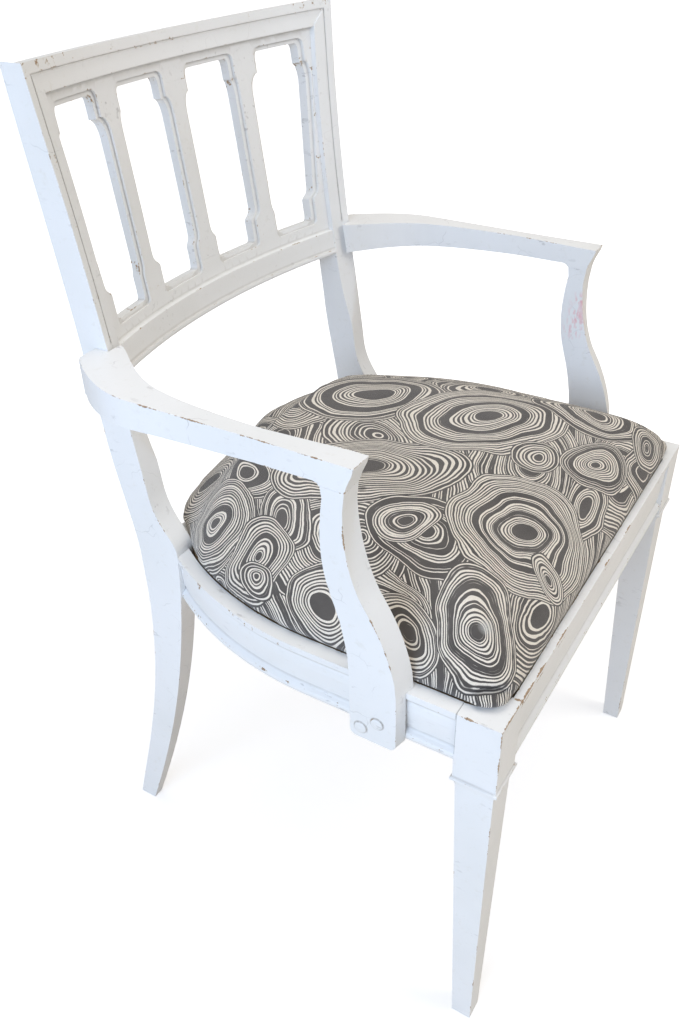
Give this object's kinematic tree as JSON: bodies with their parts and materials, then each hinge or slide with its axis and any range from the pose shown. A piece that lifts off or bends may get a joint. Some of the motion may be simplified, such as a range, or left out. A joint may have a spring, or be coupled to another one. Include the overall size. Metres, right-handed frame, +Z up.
{
  "type": "open armchair",
  "caption": "Open armchair of white-painted wood with a curved pierced splat back, sabre back legs, tapered front legs and a domed seat in printed linen.",
  "frame": {"origin": "centre of the footprint, on the floor", "axes": "+Z up along the chair's height; -Y is the front of the chair; +X is the sitter's left"},
  "size_m": [0.5366, 0.5001, 0.875],
  "materials": {
    "painted_wood": "old white oil paint, chipped at the edges",
    "bare_wood": "unpainted beech",
    "plywood": "bare plywood",
    "painted_screw": "white paint over steel",
    "steel_screw": "dull steel",
    "printed_linen": "linen printed with cream rings on charcoal"
  },
  "bodies": {
    "root": {"right_rear_leg": "painted_wood", "left_rear_leg": "painted_wood", "crest_rail": "painted_wood", "lower_back_rail": "painted_wood", "splat_right": "painted_wood", "splat_centre": "painted_wood", "splat_left": "painted_wood", "side_splat_right": "painted_wood", "side_splat_left": "painted_wood", "right_arm": "painted_wood", "left_arm": "painted_wood", "right_arm_post": "painted_wood", "left_arm_post": "painted_wood", "right_post_screws": "painted_screw", "left_post_screws": "painted_screw", "front_rail": "painted_wood", "rear_rail": "painted_wood", "right_side_rail": "painted_wood", "left_side_rail": "painted_wood", "right_front_leg": "painted_wood", "left_front_leg": "painted_wood", "front_right_block": "bare_wood", "front_left_block": "bare_wood", "rear_right_block": "bare_wood", "rear_left_block": "bare_wood", "block_screws": "steel_screw", "seat_board": "plywood", "seat_screws": "steel_screw", "seat_cushion": "printed_linen"}
  },
  "joints": []
}
